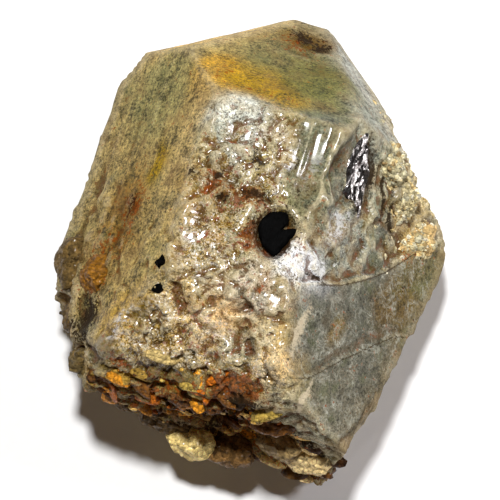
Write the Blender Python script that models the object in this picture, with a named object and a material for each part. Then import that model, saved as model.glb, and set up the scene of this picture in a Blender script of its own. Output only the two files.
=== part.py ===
"""A broken apatite crystal: a stubby six-sided prism with a pyramid at its far end.

It lies on one prism face, its axis level. The scene is in metres, +Z is up, and the origin is on
the surface it rests on, under the middle of the stone. Sizes below are millimetres in the
crystal's own frame, with its origin at the middle of the prism: P runs across the prism, A along
its axis towards the pyramid, and U up. A face is given by its roll about the axis, from up
towards P, by its tilt towards the pyramid, both in degrees, and by its distance from the middle.
"""

import math

import bmesh
import bpy
import numpy as np
from mathutils import Matrix, Vector

MM = 0.001

# The crystal and where it lies
MIDDLE_HEIGHT = 14.0
AXIS_TURN = 16.0
STAND = (-0.05, -1.75)
ROUGH_BLOCK = 80.0

# Grown faces, flat: roll, tilt, distance. The first two bound what has broken away.
GROWN_FACES = {
    "lost_top_prism": (0, 0, 14.8),
    "lost_near_end": (0, -90, 24.0),
    "rest_prism": (180, 0, MIDDLE_HEIGHT),
    "left_prism": (-50, 0, 13.7),
    "right_prism": (52, 0, 13.8),
    "lower_left_prism": (-118, 5, 18.3),
    "lower_right_prism": (122, 0, 19.4),
    "top_pyramid": (2, 44, 17.2),
    "left_pyramid": (-49, 54, 22.3),
    "right_pyramid": (57, 44, 18.6),
    "bottom_pyramid": (180, 46, 21.4),
    "lower_left_pyramid": (-123, 42, 21.9),
    "lower_right_pyramid": (117, 42, 20.8),
}

# Broken faces: roll, tilt, distance, half width, half length, cell size
BROKEN_FACES = {
    "broken_top": (0, 0, 13.0, 19.0, 21.0, 1.2),
    "broken_brow": (-6, -30, 15.6, 21.0, 15.0, 1.25),
    "broken_foot": (2, -80, 18.7, 22.0, 20.0, 1.35),
    "crusted_corner": (78, 37, 18.9, 15.0, 16.0, 1.35),
    "left_corner": (-82, -30, 20.0, 15.0, 17.0, 1.5),
    "left_undercut": (-157, -53, 18.3, 20.0, 19.0, 1.5),
    "right_edge": (97, -13.5, 19.3, 18.0, 20.0, 1.5),
    "right_step": (52, 0, 13.8, 16.0, 21.0, 1.25),
}
BREAK_HEIGHT = 18.0

# Where the face right_prism has lost a slab, above a crack: points along the crack, as P and A
CRACK = ((4.0, -7.6), (8.7, -4.5), (11.0, -3.0), (12.8, -1.3), (14.5, 0.7), (16.9, 4.4), (20.0, 8.0))
SLAB_DEPTH = 1.1
SLAB_CLEAR = 0.6
# The second crack, lower on the same face, below which the face stands a little proud
LOWER_CRACK = ((6.0, -16.5), (10.3, -13.8), (12.4, -10.9), (15.1, -7.5), (17.1, -5.1), (22.0, -2.0))
LOWER_SET_BACK = 0.5

# The black grain's pit and the mica patch in the broken top, and the smooth hollow beside them
PIT = (3.0, -1.1, 13.0)
PIT_RADII = (1.9, 2.7, 6.0)
PIT_DEPTH = 1.3
MICA = (9.0, 8.4, 10.0)
MICA_RADII = (1.4, 4.3, 5.0)
MICA_DEPTH = 0.6
HOLLOW = (4.9, 7.4, 13.0)
HOLLOW_RADII = (2.5, 6.2, 8.0)
HOLLOW_DEPTH = 1.1
BRIGHT_HOLLOW = (6.8, -2.4, 12.5)
BRIGHT_HOLLOW_RADII = (2.6, 1.7, 6.0)
BRIGHT_HOLLOW_DEPTH = 0.7
FOOT_HOLLOW = (5.0, -20.6, -1.5)
FOOT_HOLLOW_RADII = (6.5, 9.0, 3.4)
FOOT_HOLLOW_DEPTH = 3.0
LAYER_HEIGHT = 3.0
LAYER_STEP = 1.3

# Rounded swellings of the broken face: P, A, radius, height
SWELLINGS = (
    (2.7, -7.0, 2.6, 0.5),
    (-0.7, -10.6, 2.3, 0.5),
    (6.2, -13.6, 2.8, 2.0),
    (3.0, -11.8, 2.0, -0.5),
    (-5.5, -13.5, 2.6, 0.6),
    (-9.5, -15.5, 2.2, 0.6),
    (-2.6, 5.8, 2.4, 0.4),
    (-3.2, 1.0, 1.8, -0.5),
    (-5.2, 9.4, 2.2, 0.3),
)

# Lumps of crust and matrix grown onto the crystal: P, A, U, their three radii and their turn
LUMP_PLANES = 12
LUMPS = {
    "crust_peak": (16.2, 6.2, -1.0, 2.1, 2.5, 2.1, 20),
    "crust_brow": (14.1, 9.4, 2.0, 1.8, 2.4, 1.8, 50),
    "crust_shoulder": (11.9, 11.6, 4.3, 1.9, 2.4, 1.8, 35),
    "crust_bead": (15.2, 9.0, -3.0, 1.8, 2.1, 2.4, 10),
    "crust_low_bead": (17.6, 6.4, -5.6, 1.8, 2.2, 2.2, 70),
    "left_lump": (-17.6, -6.8, -1.0, 1.9, 3.2, 2.4, 5),
    "left_low_lump": (-15.3, -11.0, -2.2, 2.0, 2.6, 2.8, 20),
    "ochre_lump": (-14.4, -7.8, 3.7, 1.9, 2.4, 2.0, 40),
    "near_left_lump": (-12.6, -15.6, -1.6, 2.5, 2.5, 2.8, 30),
    "foot_bead": (-9.0, -17.2, 0.8, 2.8, 2.0, 2.2, 80),
    "foot_flake": (-6.2, -18.2, -2.0, 3.2, 2.0, 1.6, 8),
    "foot_shelf": (-3.4, -18.6, -4.6, 3.2, 2.3, 1.8, -12),
    "cream_lump": (-0.8, -20.0, -5.8, 2.7, 2.3, 2.2, 25),
    "foot_tongue": (3.4, -19.7, -6.4, 3.0, 2.0, 1.9, -8),
    "rust_flake": (7.6, -17.5, 2.7, 2.8, 1.7, 1.4, 14),
    "foot_wedge": (9.2, -18.6, -3.4, 2.8, 1.8, 1.8, 20),
    "tip_lump": (12.0, -18.7, -5.2, 2.5, 1.9, 2.4, 35),
    "tip_bead": (13.2, -15.4, -8.6, 2.0, 2.0, 2.2, 60),
}


def direction(roll, tilt):
    """The unit normal of a face, from its roll and tilt in degrees."""
    roll, tilt = math.radians(roll), math.radians(tilt)
    level = math.cos(tilt)
    return np.array([level * math.sin(roll), math.sin(tilt), level * math.cos(roll)])


def face_axes(normal):
    """Two unit directions in a face: the second runs up the crystal's axis, or up on an end face."""
    along = np.array([0.0, 1.0, 0.0]) if abs(normal[1]) < 0.95 else np.array([0.0, 0.0, 1.0])
    up_face = along - (along @ normal) * normal
    up_face /= np.linalg.norm(up_face)
    return np.cross(up_face, normal), up_face


def lattice(i, j, k, seed):
    """A repeatable number from 0 to 1 for each whole-numbered lattice point, by mixing its bits."""
    mixed = (i * 374761393 + j * 668265263 + k * 1103515245 + seed * 69069 + 12345) & 0xFFFFFFFF
    mixed = ((mixed ^ (mixed >> 13)) * 1274126177) & 0xFFFFFFFF
    mixed = ((mixed ^ (mixed >> 15)) * 2246822519) & 0xFFFFFFFF
    return ((mixed ^ (mixed >> 16)) & 0xFFFF) / 65535.0


def noise(points, size, seed):
    """Smooth noise from -1 to 1: lattice numbers a size apart, eased between by 3t^2 - 2t^3."""
    scaled = points / size
    corner = np.floor(scaled).astype(np.int64)
    t = scaled - corner
    t = t * t * (3 - 2 * t)
    total = np.zeros(len(points))
    for n in range(8):
        step = np.array([n & 1, (n >> 1) & 1, n >> 2])
        weight = np.prod(np.where(step, t, 1 - t), axis=1)
        total += weight * lattice(*(corner + step).T, seed)
    return 2 * total - 1


def facets(points, size, seed, slope):
    """Relief of tilted cleavage facets: each nearest-seed cell is a plane with its own slope."""
    home = np.floor(points / size).astype(np.int64)
    nearest = np.full(len(points), np.inf)
    relief = np.zeros(len(points))
    for n in range(27):
        cell = home + np.array([n % 3 - 1, n // 3 % 3 - 1, n // 9 - 1])
        jitter = np.stack([lattice(*cell.T, seed + s) for s in range(3)], 1)
        away = points - (cell + jitter) * size
        squared = (away**2).sum(1)
        lean = np.stack([lattice(*cell.T, seed + s) for s in range(3, 6)], 1) - 0.5
        closer = squared < nearest
        relief[closer] = 2 * slope * (away * lean).sum(1)[closer]
        nearest[closer] = squared[closer]
    return relief


def blob(points, centre, radii):
    """A soft swelling: e to the minus squared distance, in radii, from its centre."""
    return np.exp(-(((points - np.array(centre)) / np.array(radii)) ** 2).sum(1))


def basin(points, centre, radii, wall=0.3):
    """A flat-floored basin: 1 inside the ellipsoid, 0 outside, eased over the wall's width."""
    reach = np.sqrt((((points - np.array(centre)) / np.array(radii)) ** 2).sum(1))
    t = np.clip((1 + wall / 2 - reach) / wall, 0, 1)
    return t * t * (3 - 2 * t)


def beyond(points, line, width):
    """0 on the near side of a line of P and A points, 1 on the far side, eased over the width."""
    line = np.array(line)
    ahead = points[:, 1] - np.interp(points[:, 0], line[:, 0], line[:, 1])
    t = np.clip(ahead / width + 0.5, 0, 1)
    return t * t * (3 - 2 * t)


def swellings(points):
    """The rounded swellings of the broken top and brow, as soft round domes seen from above."""
    total = np.zeros(len(points))
    for across, along, radius, height in SWELLINGS:
        total += height * blob(points, (across, along, 11.0), (radius, radius, 9.0))
    return total


def relief_of_top(points):
    """Glassy broken top: facets and swellings, a smooth hollow, the pit and the mica patch."""
    smooth = blob(points, HOLLOW, HOLLOW_RADII)
    rough = 0.55 * noise(points, 6.0, 1) + facets(points, 2.6, 10, 0.3) + swellings(points)
    height = rough * (1 - 0.85 * smooth) - HOLLOW_DEPTH * smooth
    height -= BRIGHT_HOLLOW_DEPTH * blob(points, BRIGHT_HOLLOW, BRIGHT_HOLLOW_RADII)
    height -= PIT_DEPTH * basin(points, PIT, PIT_RADII)
    return height - MICA_DEPTH * basin(points, MICA, MICA_RADII)


def relief_of_brow(points):
    """The slope down to the near end: broad lumps and coarser facets."""
    return 0.6 * noise(points, 5.0, 2) + facets(points, 3.0, 20, 0.35) + swellings(points)


def relief_of_foot(points):
    """The near end: layers that jut like shingles, with a deep hollow under the brow."""
    level = points[:, 2] / LAYER_HEIGHT + 0.7 * noise(points, 7.0, 3)
    layer = LAYER_STEP * (level - np.floor(level)) - LAYER_STEP / 2
    hollow = FOOT_HOLLOW_DEPTH * blob(points, FOOT_HOLLOW, FOOT_HOLLOW_RADII)
    return layer + 0.6 * noise(points, 3.5, 4) - hollow


def relief_of_crust(points):
    """The granular corner: knobbly noise at two sizes."""
    return 0.7 * noise(points, 4.0, 5) + 0.35 * noise(points, 2.0, 6)


def relief_of_corner(points):
    """A rough broken corner: broad noise and coarse facets."""
    return 0.6 * noise(points, 6.0, 7) + facets(points, 3.5, 30, 0.3)


def relief_of_edge(points):
    """The thin broken edge under the right face: low steps that run along it."""
    return 0.35 * noise(points, 4.0, 8) + facets(points, 4.0, 40, 0.12)


def relief_of_step(points):
    """The right face: a slab lost above the crack, and a low set-back above the second crack."""
    lost = beyond(points, CRACK, 1.2)
    set_back = beyond(points, LOWER_CRACK, 1.4) * (1 - lost)
    broken = 0.3 * noise(points, 4.0, 9) + facets(points, 3.0, 50, 0.2)
    patch = MICA_DEPTH * basin(points, MICA, MICA_RADII)
    kept = SLAB_CLEAR * (1 - set_back - lost) - LOWER_SET_BACK * set_back
    return kept + lost * (broken - SLAB_DEPTH - patch)


RELIEFS = {
    "broken_top": relief_of_top,
    "broken_brow": relief_of_brow,
    "broken_foot": relief_of_foot,
    "crusted_corner": relief_of_crust,
    "left_corner": relief_of_corner,
    "left_undercut": relief_of_corner,
    "right_edge": relief_of_edge,
    "right_step": relief_of_step,
}


def clear_scene():
    for obj in list(bpy.data.objects):
        bpy.data.objects.remove(obj)


def collection(name):
    made = bpy.data.collections.new(name)
    bpy.context.scene.collection.children.link(made)
    return made


def add_object(name, bm, home):
    """Puts a bmesh in the scene as an object of the named collection, placed as the crystal lies."""
    mesh = bpy.data.meshes.new(name)
    bmesh.ops.recalc_face_normals(bm, faces=bm.faces)
    bm.to_mesh(mesh)
    bm.free()
    obj = bpy.data.objects.new(name, mesh)
    home.objects.link(obj)
    obj.rotation_euler = (0, 0, -math.radians(AXIS_TURN))
    obj.location = (STAND[0] * MM, STAND[1] * MM, MIDDLE_HEIGHT * MM)
    return obj


def grown_crystal(home):
    """A rough block cut down to the crystal's flat faces, one plane at a time."""
    bm = bmesh.new()
    bmesh.ops.create_cube(bm, size=ROUGH_BLOCK * MM)
    for roll, tilt, distance in GROWN_FACES.values():
        normal = Vector(direction(roll, tilt))
        geometry = bm.verts[:] + bm.edges[:] + bm.faces[:]
        cut = bmesh.ops.bisect_plane(
            bm, geom=geometry, plane_co=normal * distance * MM, plane_no=normal, clear_outer=True
        )
        rim = [e for e in cut["geom_cut"] if isinstance(e, bmesh.types.BMEdge)]
        bmesh.ops.edgenet_fill(bm, edges=rim)
    return add_object("apatite_crystal", bm, home)


def break_cutter(name, home):
    """What broke away from one face: a slab whose underside is the relief of the break."""
    roll, tilt, distance, half_width, half_length, cell = BROKEN_FACES[name]
    normal = direction(roll, tilt)
    across, up_face = face_axes(normal)
    bm = bmesh.new()
    bmesh.ops.create_grid(
        bm,
        x_segments=round(2 * half_width / cell),
        y_segments=round(2 * half_length / cell),
        size=1.0,
    )
    flat = np.array([v.co for v in bm.verts])
    flat = normal * distance + np.outer(flat[:, 0] * half_width, across) + np.outer(
        flat[:, 1] * half_length, up_face
    )
    heights = RELIEFS[name](flat)
    for vertex, point, height in zip(bm.verts, flat, heights):
        vertex.co = Vector((point + normal * height) * MM)
    top = bmesh.ops.extrude_face_region(bm, geom=bm.faces[:])
    lifted = [v for v in top["geom"] if isinstance(v, bmesh.types.BMVert)]
    for vertex in lifted:
        above = distance + BREAK_HEIGHT - vertex.co.dot(Vector(normal)) / MM
        vertex.co += Vector(normal) * above * MM
    bmesh.ops.triangulate(bm, faces=bm.faces)
    return add_object(name, bm, home)


def lump(name, home):
    """A lump of crust or matrix: a ball cut back by its own set of planes, then drawn out."""
    across, along, up, radius_p, radius_a, radius_u, turn = LUMPS[name]
    bm = bmesh.new()
    bmesh.ops.create_icosphere(bm, subdivisions=2, radius=1.0)
    ball = np.array([v.co for v in bm.verts])
    reach = np.full(len(ball), 1.1)
    for n in range(LUMP_PLANES):
        cell = [np.array([round(7 * value) + n]) for value in (across, along, up)]
        normal = np.array([lattice(*cell, 60 + s)[0] - 0.5 for s in range(3)])
        normal /= np.linalg.norm(normal)
        facing = np.maximum(ball @ normal, 0.05)
        reach = np.minimum(reach, (0.72 + 0.2 * lattice(*cell, 70)) / facing)
    ball = ball * reach[:, None] * np.array([radius_p, radius_a, radius_u])
    tip = Matrix.Rotation(math.radians(turn), 3, "Y")
    for vertex, point in zip(bm.verts, ball):
        vertex.co = (tip @ Vector(point) + Vector((across, along, up))) * MM
    return add_object(name, bm, home)


def join(obj, other, operation):
    """Adds an exact Boolean modifier, and hides the shape that it uses."""
    modifier = obj.modifiers.new(other.name, "BOOLEAN")
    modifier.operation = operation
    modifier.object = other
    modifier.solver = "EXACT"
    other.hide_render = True
    other.display_type = "WIRE"


def apatite_material():
    """Cloudy grey-green stone."""
    material = bpy.data.materials.new("apatite")
    material.use_nodes = True
    shader = material.node_tree.nodes["Principled BSDF"]
    shader.inputs["Base Color"].default_value = (0.28, 0.27, 0.17, 1.0)
    shader.inputs["Roughness"].default_value = 0.35
    shader.inputs["Metallic"].default_value = 0.0
    return material


def main():
    clear_scene()
    stone = collection("apatite_crystal")
    helpers = collection("breaks_and_lumps")
    crystal = grown_crystal(stone)
    crystal.data.materials.append(apatite_material())
    for name in BROKEN_FACES:
        join(crystal, break_cutter(name, helpers), "DIFFERENCE")
    for name in LUMPS:
        join(crystal, lump(name, helpers), "UNION")


main()
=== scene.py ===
import math

import bpy
import numpy as np
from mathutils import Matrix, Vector


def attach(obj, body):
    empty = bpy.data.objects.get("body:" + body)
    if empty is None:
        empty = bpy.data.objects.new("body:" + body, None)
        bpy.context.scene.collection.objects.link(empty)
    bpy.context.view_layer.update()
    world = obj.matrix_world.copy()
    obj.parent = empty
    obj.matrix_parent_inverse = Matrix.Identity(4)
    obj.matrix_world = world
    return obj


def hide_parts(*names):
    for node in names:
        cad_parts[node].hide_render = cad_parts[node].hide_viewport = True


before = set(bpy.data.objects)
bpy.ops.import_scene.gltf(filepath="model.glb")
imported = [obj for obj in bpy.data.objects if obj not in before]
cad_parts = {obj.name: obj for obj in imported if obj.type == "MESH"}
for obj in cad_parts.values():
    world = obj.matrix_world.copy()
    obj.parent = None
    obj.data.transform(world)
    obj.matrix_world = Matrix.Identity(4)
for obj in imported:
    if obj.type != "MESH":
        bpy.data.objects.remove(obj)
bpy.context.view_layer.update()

# The stone. A cloudy grey-green apatite prism lies on one of its six long sides, with its axis
# level and its pyramid at the far end. The top, the near end and two corners have broken away,
# and rust, ochre and olive stains have soaked into the breaks. It is one grown piece.

MM = 0.001
AXIS_TURN = math.radians(16.0)
STAND = np.array([-0.05, -1.75, 14.0])
# How softly the faces' relief meets at an edge, and over what width their colours mix there
EDGE_WEAR = 0.1
SHARE_WIDTH = 0.7

# Places are in millimetres from the crystal's middle: P across it, A along its axis towards the
# pyramid, U up. A face has its roll about the axis and its tilt towards the pyramid, in degrees,
# and its distance from the middle.
FACES = {
    "left": (-50, 0, 13.7),
    "right": (52, 0, 13.8),
    "rest": (180, 0, 14.0),
    "lower_left": (-118, 5, 18.3),
    "lower_right": (122, 0, 19.4),
    "end": (2, 44, 17.2),
    "left_end": (-49, 54, 22.3),
    "right_end": (57, 44, 18.6),
    "bottom_end": (180, 46, 21.4),
    "lower_left_end": (-123, 42, 21.9),
    "lower_right_end": (117, 42, 20.8),
    "top": (0, 0, 13.0),
    "brow": (-6, -30, 15.6),
    "foot": (2, -80, 18.7),
    "crust": (78, 37, 18.9),
    "left_corner": (-82, -30, 20.0),
    "undercut": (-157, -53, 18.3),
    "right_edge": (97, -13.5, 19.3),
}

# Rounded swellings of the broken top and brow: P, A, radius, height
SWELLINGS = (
    (2.7, -7, 2.6, 0.5),
    (-0.7, -10.6, 2.3, 0.5),
    (6.2, -13.6, 2.8, 2),
    (3, -11.8, 2, -0.5),
    (-5.5, -13.5, 2.6, 0.6),
    (-9.5, -15.5, 2.2, 0.6),
    (-2.6, 5.8, 2.4, 0.4),
    (-3.2, 1, 1.8, -0.5),
    (-5.2, 9.4, 2.2, 0.3),
)
PIT = (3, -1.1, 13)
PIT_RADII = (1.9, 2.7, 6)
MICA = (9, 8.4, 10)
MICA_RADII = (1.4, 4.3, 5)
HOLLOW = (4.9, 7.4, 13)
HOLLOW_RADII = (2.5, 6.2, 8)
BRIGHT_HOLLOW = (6.8, -2.4, 12.5)
BRIGHT_HOLLOW_RADII = (2.6, 1.7, 6)
CRACK = ((4, -7.6), (8.7, -4.5), (11, -3), (12.8, -1.3), (14.5, 0.7), (16.9, 4.4), (20, 8))
LOWER_CRACK = ((6, -16.5), (10.3, -13.8), (12.4, -10.9), (15.1, -7.5), (17.1, -5.1), (22, -2))
# Inner border of the flaky strip along the right edge: A, P
STRIP = ((-24, 14.4), (-20.7, 14), (-18.8, 14.6), (-14.7, 16.1), (-9.6, 17.7), (-5.1, 18.3), (0, 24))


def direction(roll, tilt):
    """The unit normal of a face, from its roll and tilt in degrees."""
    roll, tilt = math.radians(roll), math.radians(tilt)
    level = math.cos(tilt)
    return np.array([level * math.sin(roll), math.sin(tilt), level * math.cos(roll)])


def unit(vectors):
    """Each vector at length 1."""
    return vectors / np.linalg.norm(vectors, axis=-1, keepdims=True)


def lattice(i, j, k, seed):
    """A repeatable number from 0 to 1 for each whole-numbered lattice point, by mixing its bits."""
    mixed = (i * 374761393 + j * 668265263 + k * 1103515245 + seed * 69069 + 12345) & 0xFFFFFFFF
    mixed = ((mixed ^ (mixed >> 13)) * 1274126177) & 0xFFFFFFFF
    mixed = ((mixed ^ (mixed >> 15)) * 2246822519) & 0xFFFFFFFF
    return ((mixed ^ (mixed >> 16)) & 0xFFFF) / 65535.0


def noise(points, size, seed):
    """Smooth noise from -1 to 1: lattice numbers a size apart, eased between by 3t^2 - 2t^3."""
    scaled = points / size
    corner = np.floor(scaled).astype(np.int64)
    t = scaled - corner
    t = t * t * (3 - 2 * t)
    total = np.zeros(len(points))
    for n in range(8):
        step = np.array([n & 1, (n >> 1) & 1, n >> 2])
        weight = np.prod(np.where(step, t, 1 - t), axis=1)
        total += weight * lattice(*(corner + step).T, seed)
    return 2 * total - 1


def facets(points, size, seed, slope, dome=0.0, soft=0.1):
    """Relief of tilted facets about scattered seeds, each a plane with its own slope.

    A point takes the mean of the planes about it, weighted by e to the minus squared distance
    from their seeds over soft, in sizes, so that a plane rounds off into the next. With a dome,
    each also swells by the dome times 0.35 less that squared distance.
    """
    home = np.floor(points / size).astype(np.int64)
    total = np.zeros(len(points))
    weights = np.full(len(points), 1e-30)
    for n in range(27):
        cell = home + np.array([n % 3 - 1, n // 3 % 3 - 1, n // 9 - 1])
        jitter = np.stack([lattice(*cell.T, seed + s) for s in range(3)], 1)
        away = points - (cell + jitter) * size
        squared = (away**2).sum(1) / size**2
        lean = np.stack([lattice(*cell.T, seed + s) for s in range(3, 6)], 1) - 0.5
        weight = np.exp(-squared / soft)
        total += weight * (2 * slope * (away * lean).sum(1) + dome * (0.35 - squared))
        weights += weight
    return total / weights


def ragged(points, reach, size, seed):
    """Points pushed about by noise along each axis, so that what is built on them is uneven."""
    return points + reach * np.stack([noise(points, size, seed + n) for n in range(3)], 1)


def ease(t):
    """0 below 0, 1 above 1, and 3t^2 - 2t^3 between."""
    t = np.clip(t, 0, 1)
    return t * t * (3 - 2 * t)


def blob(points, centre, radii):
    """A soft swelling: e to the minus squared distance, in radii, from its centre."""
    return np.exp(-(((points - np.array(centre)) / np.array(radii)) ** 2).sum(1))


def basin(points, centre, radii, wall=0.3):
    """A flat-floored basin: 1 inside the ellipsoid, 0 outside, eased over the wall's width."""
    reach = np.sqrt((((points - np.array(centre)) / np.array(radii)) ** 2).sum(1))
    return ease((1 + wall / 2 - reach) / wall)


def ahead_of(points, line):
    """How far along the axis a point is ahead of a line given by its P and A points."""
    line = np.array(line)
    return points[:, 1] - np.interp(points[:, 0], line[:, 0], line[:, 1])


def grooves(points, across, along, seed):
    """Growth striations: noise drawn out along the crystal's axis."""
    return noise(points * np.array([1 / across, 1 / along, 1 / across]), 1.0, seed)


def beyond_strip(points):
    """How far a point of the right face lies outside the flaky strip's inner border."""
    line = np.array(STRIP)
    wander = 0.5 * noise(points, 2.0, 168)
    return points[:, 0] - np.interp(points[:, 1], line[:, 0], line[:, 1]) + wander


def grey_nose(points):
    """1 on the clean grey stone at the right of the near end, 0 on its rusty leaves at the left.

    The border between them leans: it runs down and to the right by 0.75 mm for each 1 mm.
    """
    border = 4.4 + 0.75 * (9.0 - points[:, 2]) + 0.6 * noise(points, 1.6, 169)
    return ease((points[:, 0] - border) / 1.6)


def swellings(points):
    """The rounded swellings of the broken top and brow, as soft round domes seen from above."""
    total = np.zeros(len(points))
    for across, along, radius, height in SWELLINGS:
        total += height * blob(points, (across, along, 11.0), (radius, radius, 9.0))
    return total


def relief_of_top(x):
    """Glassy broken top: facets and lobes, a smooth striated hollow, pit and mica bed."""
    smooth = blob(x, HOLLOW, HOLLOW_RADII)
    rough = 0.55 * noise(x, 6.0, 1) + facets(x, 2.6, 10, 0.3) + swellings(x)
    y = ragged(x, 0.35, 1.8, 101)
    lively = 0.2 + 0.8 * ease(noise(x, 4.0, 104) * 1.6 + 0.5)
    fine = facets(y, 1.8, 110, 0.5, 0.1) + facets(y, 0.85, 105, 0.5, 0.05, 0.06)
    fine += ease(1.6 * noise(x, 3.2, 127) + 0.5) * facets(x, 0.6, 123, 0.6, 0.03, 0.05)
    calm = ease(2.4 * smooth - 0.1)
    height = rough * (1 - 0.9 * calm) + fine * lively * (1 - calm) - 1.1 * smooth
    height += 0.09 * calm * grooves(x, 0.7, 8.0, 102) + 0.05 * calm * grooves(x, 0.35, 5.0, 103)
    height -= 0.7 * blob(x, BRIGHT_HOLLOW, BRIGHT_HOLLOW_RADII) + 1.3 * basin(x, PIT, PIT_RADII)
    return height - 0.5 * basin(x, MICA, MICA_RADII)


def relief_of_brow(x):
    """The slope down to the near end: broad glassy lumps, coarse facets and finer lobes on them."""
    rough = 0.6 * noise(x, 5.0, 2) + facets(x, 3.0, 20, 0.35) + swellings(x)
    y = ragged(x, 0.35, 2.0, 121)
    lively = 0.2 + 0.8 * ease(noise(x, 4.5, 124) * 1.6 + 0.5)
    fine = facets(y, 2.1, 120, 0.5, 0.1) + facets(y, 1.0, 125, 0.5, 0.05, 0.06)
    glassy = ease(1.6 * noise(x, 3.2, 127) + 0.6) * ease(0.5 - x[:, 0] / 8)
    return 0.9 * rough + lively * fine + glassy * facets(x, 0.6, 123, 0.6, 0.03, 0.05)


def relief_of_foot(x):
    """The near end: layers that jut like shingles, thinner ones on them, and a deep hollow."""
    level = x[:, 2] / 3.0 + 0.7 * noise(x, 7.0, 3)
    layer = 1.3 * (level - np.floor(level)) - 0.65
    thin = x[:, 2] / 0.8 + 1.1 * noise(x, 3.0, 104)
    leaf = 0.4 * (thin - np.floor(thin)) - 0.2
    hollow = 3.0 * blob(x, (5.0, -20.6, -1.5), (6.5, 9.0, 3.4))
    rough = 0.6 * noise(x, 3.5, 4) + facets(x, 1.2, 106, 0.4, 0.2) + facets(x, 0.6, 107, 0.4)
    return (layer + leaf) * (1 - 0.85 * grey_nose(x)) + rough - hollow


def relief_of_crust(x):
    """The granular corner: knobbly noise at three sizes."""
    knobs = facets(ragged(x, 0.3, 1.0, 131), 1.2, 130, 0.5, 0.4) + facets(x, 0.6, 135, 0.5, 0.2)
    return 0.7 * noise(x, 4.0, 5) + 0.35 * noise(x, 2.0, 6) + knobs


def relief_of_corner(x):
    """A rough broken corner: broad noise and facets at two sizes."""
    rough = 0.6 * noise(x, 6.0, 7) + facets(x, 3.5, 30, 0.3)
    return rough + facets(ragged(x, 0.5, 1.6, 141), 1.6, 140, 0.4, 0.2) + facets(x, 0.8, 145, 0.35, 0.08)


def relief_of_edge(x):
    """The thin broken edge under the right face: low steps that run along it."""
    return 0.35 * noise(x, 4.0, 8) + facets(x, 4.0, 40, 0.12) + facets(x, 1.2, 150, 0.25)


def relief_of_right(x):
    """The right face: a slab lost above the crack, a set-back above the second one, a low strip."""
    wander = 0.3 * noise(x, 1.4, 118)
    lost = ease((ahead_of(x, CRACK) + wander) / 0.6 + 0.5)
    set_back = ease((ahead_of(x, LOWER_CRACK) + wander) / 0.5 + 0.5) * (1 - lost)
    y = ragged(x, 0.5, 1.8, 161)
    broken = 0.3 * noise(x, 4.0, 9) + facets(x, 3.0, 50, 0.2)
    broken += 0.6 * facets(y, 2.0, 160, 0.35, 0.2) + 0.3 * facets(y, 0.9, 165, 0.35, 0.1)
    bed = 0.6 * basin(x, MICA, MICA_RADII)
    flat = 0.06 * noise(x, 2.5, 107) + facets(x, 3.2, 166, 0.03)
    strip = ease(beyond_strip(x) / 0.4) * (1 - lost)
    flaky = 0.35 + 0.2 * noise(x * np.array([2.2, 0.25, 2.2]), 1.0, 167)
    return lost * (broken - 1.1 - bed) - 0.5 * set_back + (1 - lost) * flat - strip * flaky


def relief_of_left(x):
    """The left face: fine striations along the axis, shallow worn patches and a few pits."""
    worn = 0.14 * noise(x, 4.0, 108) + 0.06 * grooves(x, 0.7, 9.0, 109) + facets(x, 2.4, 175, 0.05)
    pits = 0.9 * basin(x, (-15.4, -12.4, 3.0), (1.5, 2.2, 3.0), 0.7)
    ridge = ease((ahead_of(x, ((-20, 9), (-8, -1), (0, -6))) * -1) / 5)
    return worn - pits + ridge * (0.3 * noise(x, 2.6, 111) + 0.7 * facets(x, 1.6, 170, 0.3, 0.1) - 0.15)


def relief_of_end(x):
    """A pyramid face: low growth hillocks and pits, deepest in one rusty patch near the tip."""
    worn = 0.08 * noise(x, 3.5, 112) + facets(x, 2.8, 180, 0.035)
    pitted = blob(x, (0.4, 23.0, 1.0), (3.4, 3.0, 4.0))
    return worn - pitted * (0.25 + 0.35 * noise(x, 1.1, 113))


def relief_of_hidden(x):
    """A prism face: wide growth steps a tenth of a millimetre high, with shallow etch pits."""
    level = 0.5 * noise(x, 9.0, 114) + 0.22 * x[:, 1]
    step = 0.14 * ease(((level % 1) - 0.8) / 0.2) + 0.05 * grooves(x, 0.8, 8.0, 115)
    return step - 0.3 * ease((noise(x, 2.2, 116) - 0.55) / 0.3) - 0.1


def relief_of_rest(x):
    """The face that it lies on: flat, and only scuffed inwards."""
    return -0.06 * ease(noise(x, 3.0, 117) * 2)


RELIEFS = {
    "left": relief_of_left,
    "right": relief_of_right,
    "rest": relief_of_rest,
    "top": relief_of_top,
    "brow": relief_of_brow,
    "foot": relief_of_foot,
    "crust": relief_of_crust,
    "left_corner": relief_of_corner,
    "undercut": relief_of_corner,
    "right_edge": relief_of_edge,
    "lower_left": relief_of_hidden,
    "lower_right": relief_of_hidden,
}


def box_grid(nx, ny, nz):
    """Points on the surface of a box from -1 to 1 with that many cells a side, and its quads.

    Every point is shared by its neighbours, so the surface is closed and has no poles.
    """
    at = np.indices((nx + 1, ny + 1, nz + 1)).reshape(3, -1).T
    last = np.array([nx, ny, nz])
    outside = ((at == 0) | (at == last)).any(1)
    index = np.full(len(at), -1)
    index[outside] = np.arange(outside.sum())
    index = index.reshape(nx + 1, ny + 1, nz + 1)
    quads = []
    for axis in range(3):
        sheets = np.moveaxis(index, axis, 0)
        for sheet, turned in ((sheets[-1], axis != 1), (sheets[0], axis == 1)):
            ring = [sheet[:-1, :-1], sheet[1:, :-1], sheet[1:, 1:], sheet[:-1, 1:]]
            quad = np.stack(ring, -1).reshape(-1, 4)
            quads.append(quad if turned else quad[:, ::-1])
    return at[outside] / last * 2 - 1, np.concatenate(quads)


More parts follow.
